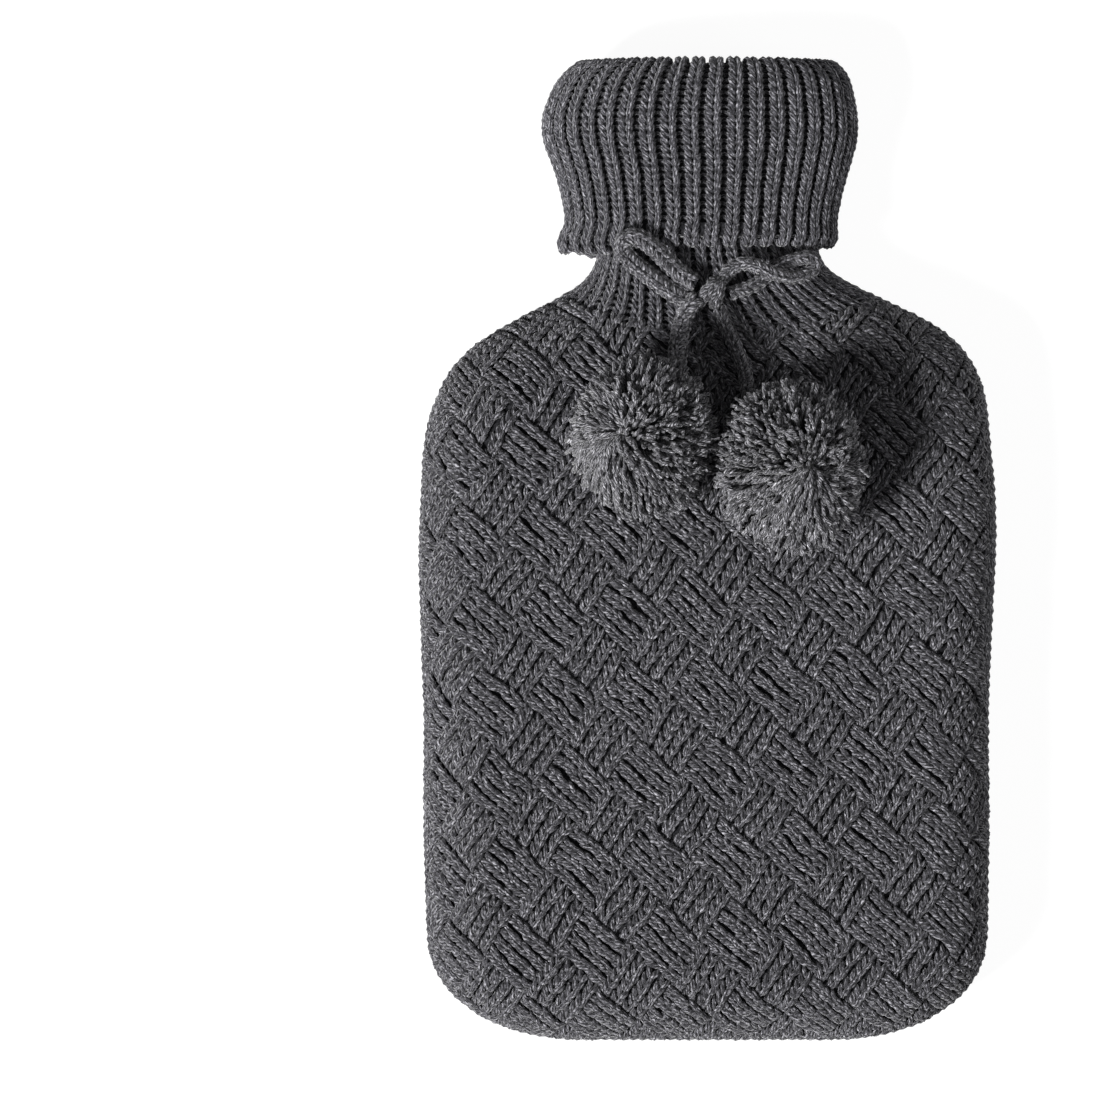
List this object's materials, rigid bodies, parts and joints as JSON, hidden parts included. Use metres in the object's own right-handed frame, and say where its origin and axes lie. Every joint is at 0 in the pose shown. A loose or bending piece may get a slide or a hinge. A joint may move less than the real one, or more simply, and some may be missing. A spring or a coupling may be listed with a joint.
{
  "type": "knitted hot water bottle cover",
  "caption": "Hollow knitted cover that a flat hot water bottle slips into, with a turned-down ribbed collar and a drawstring bow with pompoms at its neck.",
  "frame": {"origin": "middle of the cover's overall width and length, on the surface that its back lies on", "axes": "+Y from the closed bottom to the collar's mouth, +X to the right seen from the front, +Z out of the basket-weave front"},
  "size_m": [0.2003, 0.3412, 0.0945],
  "materials": {
    "basket_knit": "matte heather knit",
    "plain_knit": "matte heather knit",
    "rib_knit": "matte heather knit",
    "cord_knit": "matte heather knit",
    "pompom_yarn": "matte cut yarn"
  },
  "bodies": {
    "root": {"front_panel": "basket_knit", "back_panel": "plain_knit", "ribbed_neck": "rib_knit", "collar_flap": "rib_knit", "bow_knot": "cord_knit", "loop_left": "cord_knit", "loop_right": "cord_knit", "tail_left": "cord_knit", "tail_right": "cord_knit", "pompom_left": "pompom_yarn", "pompom_right": "pompom_yarn"}
  },
  "joints": []
}
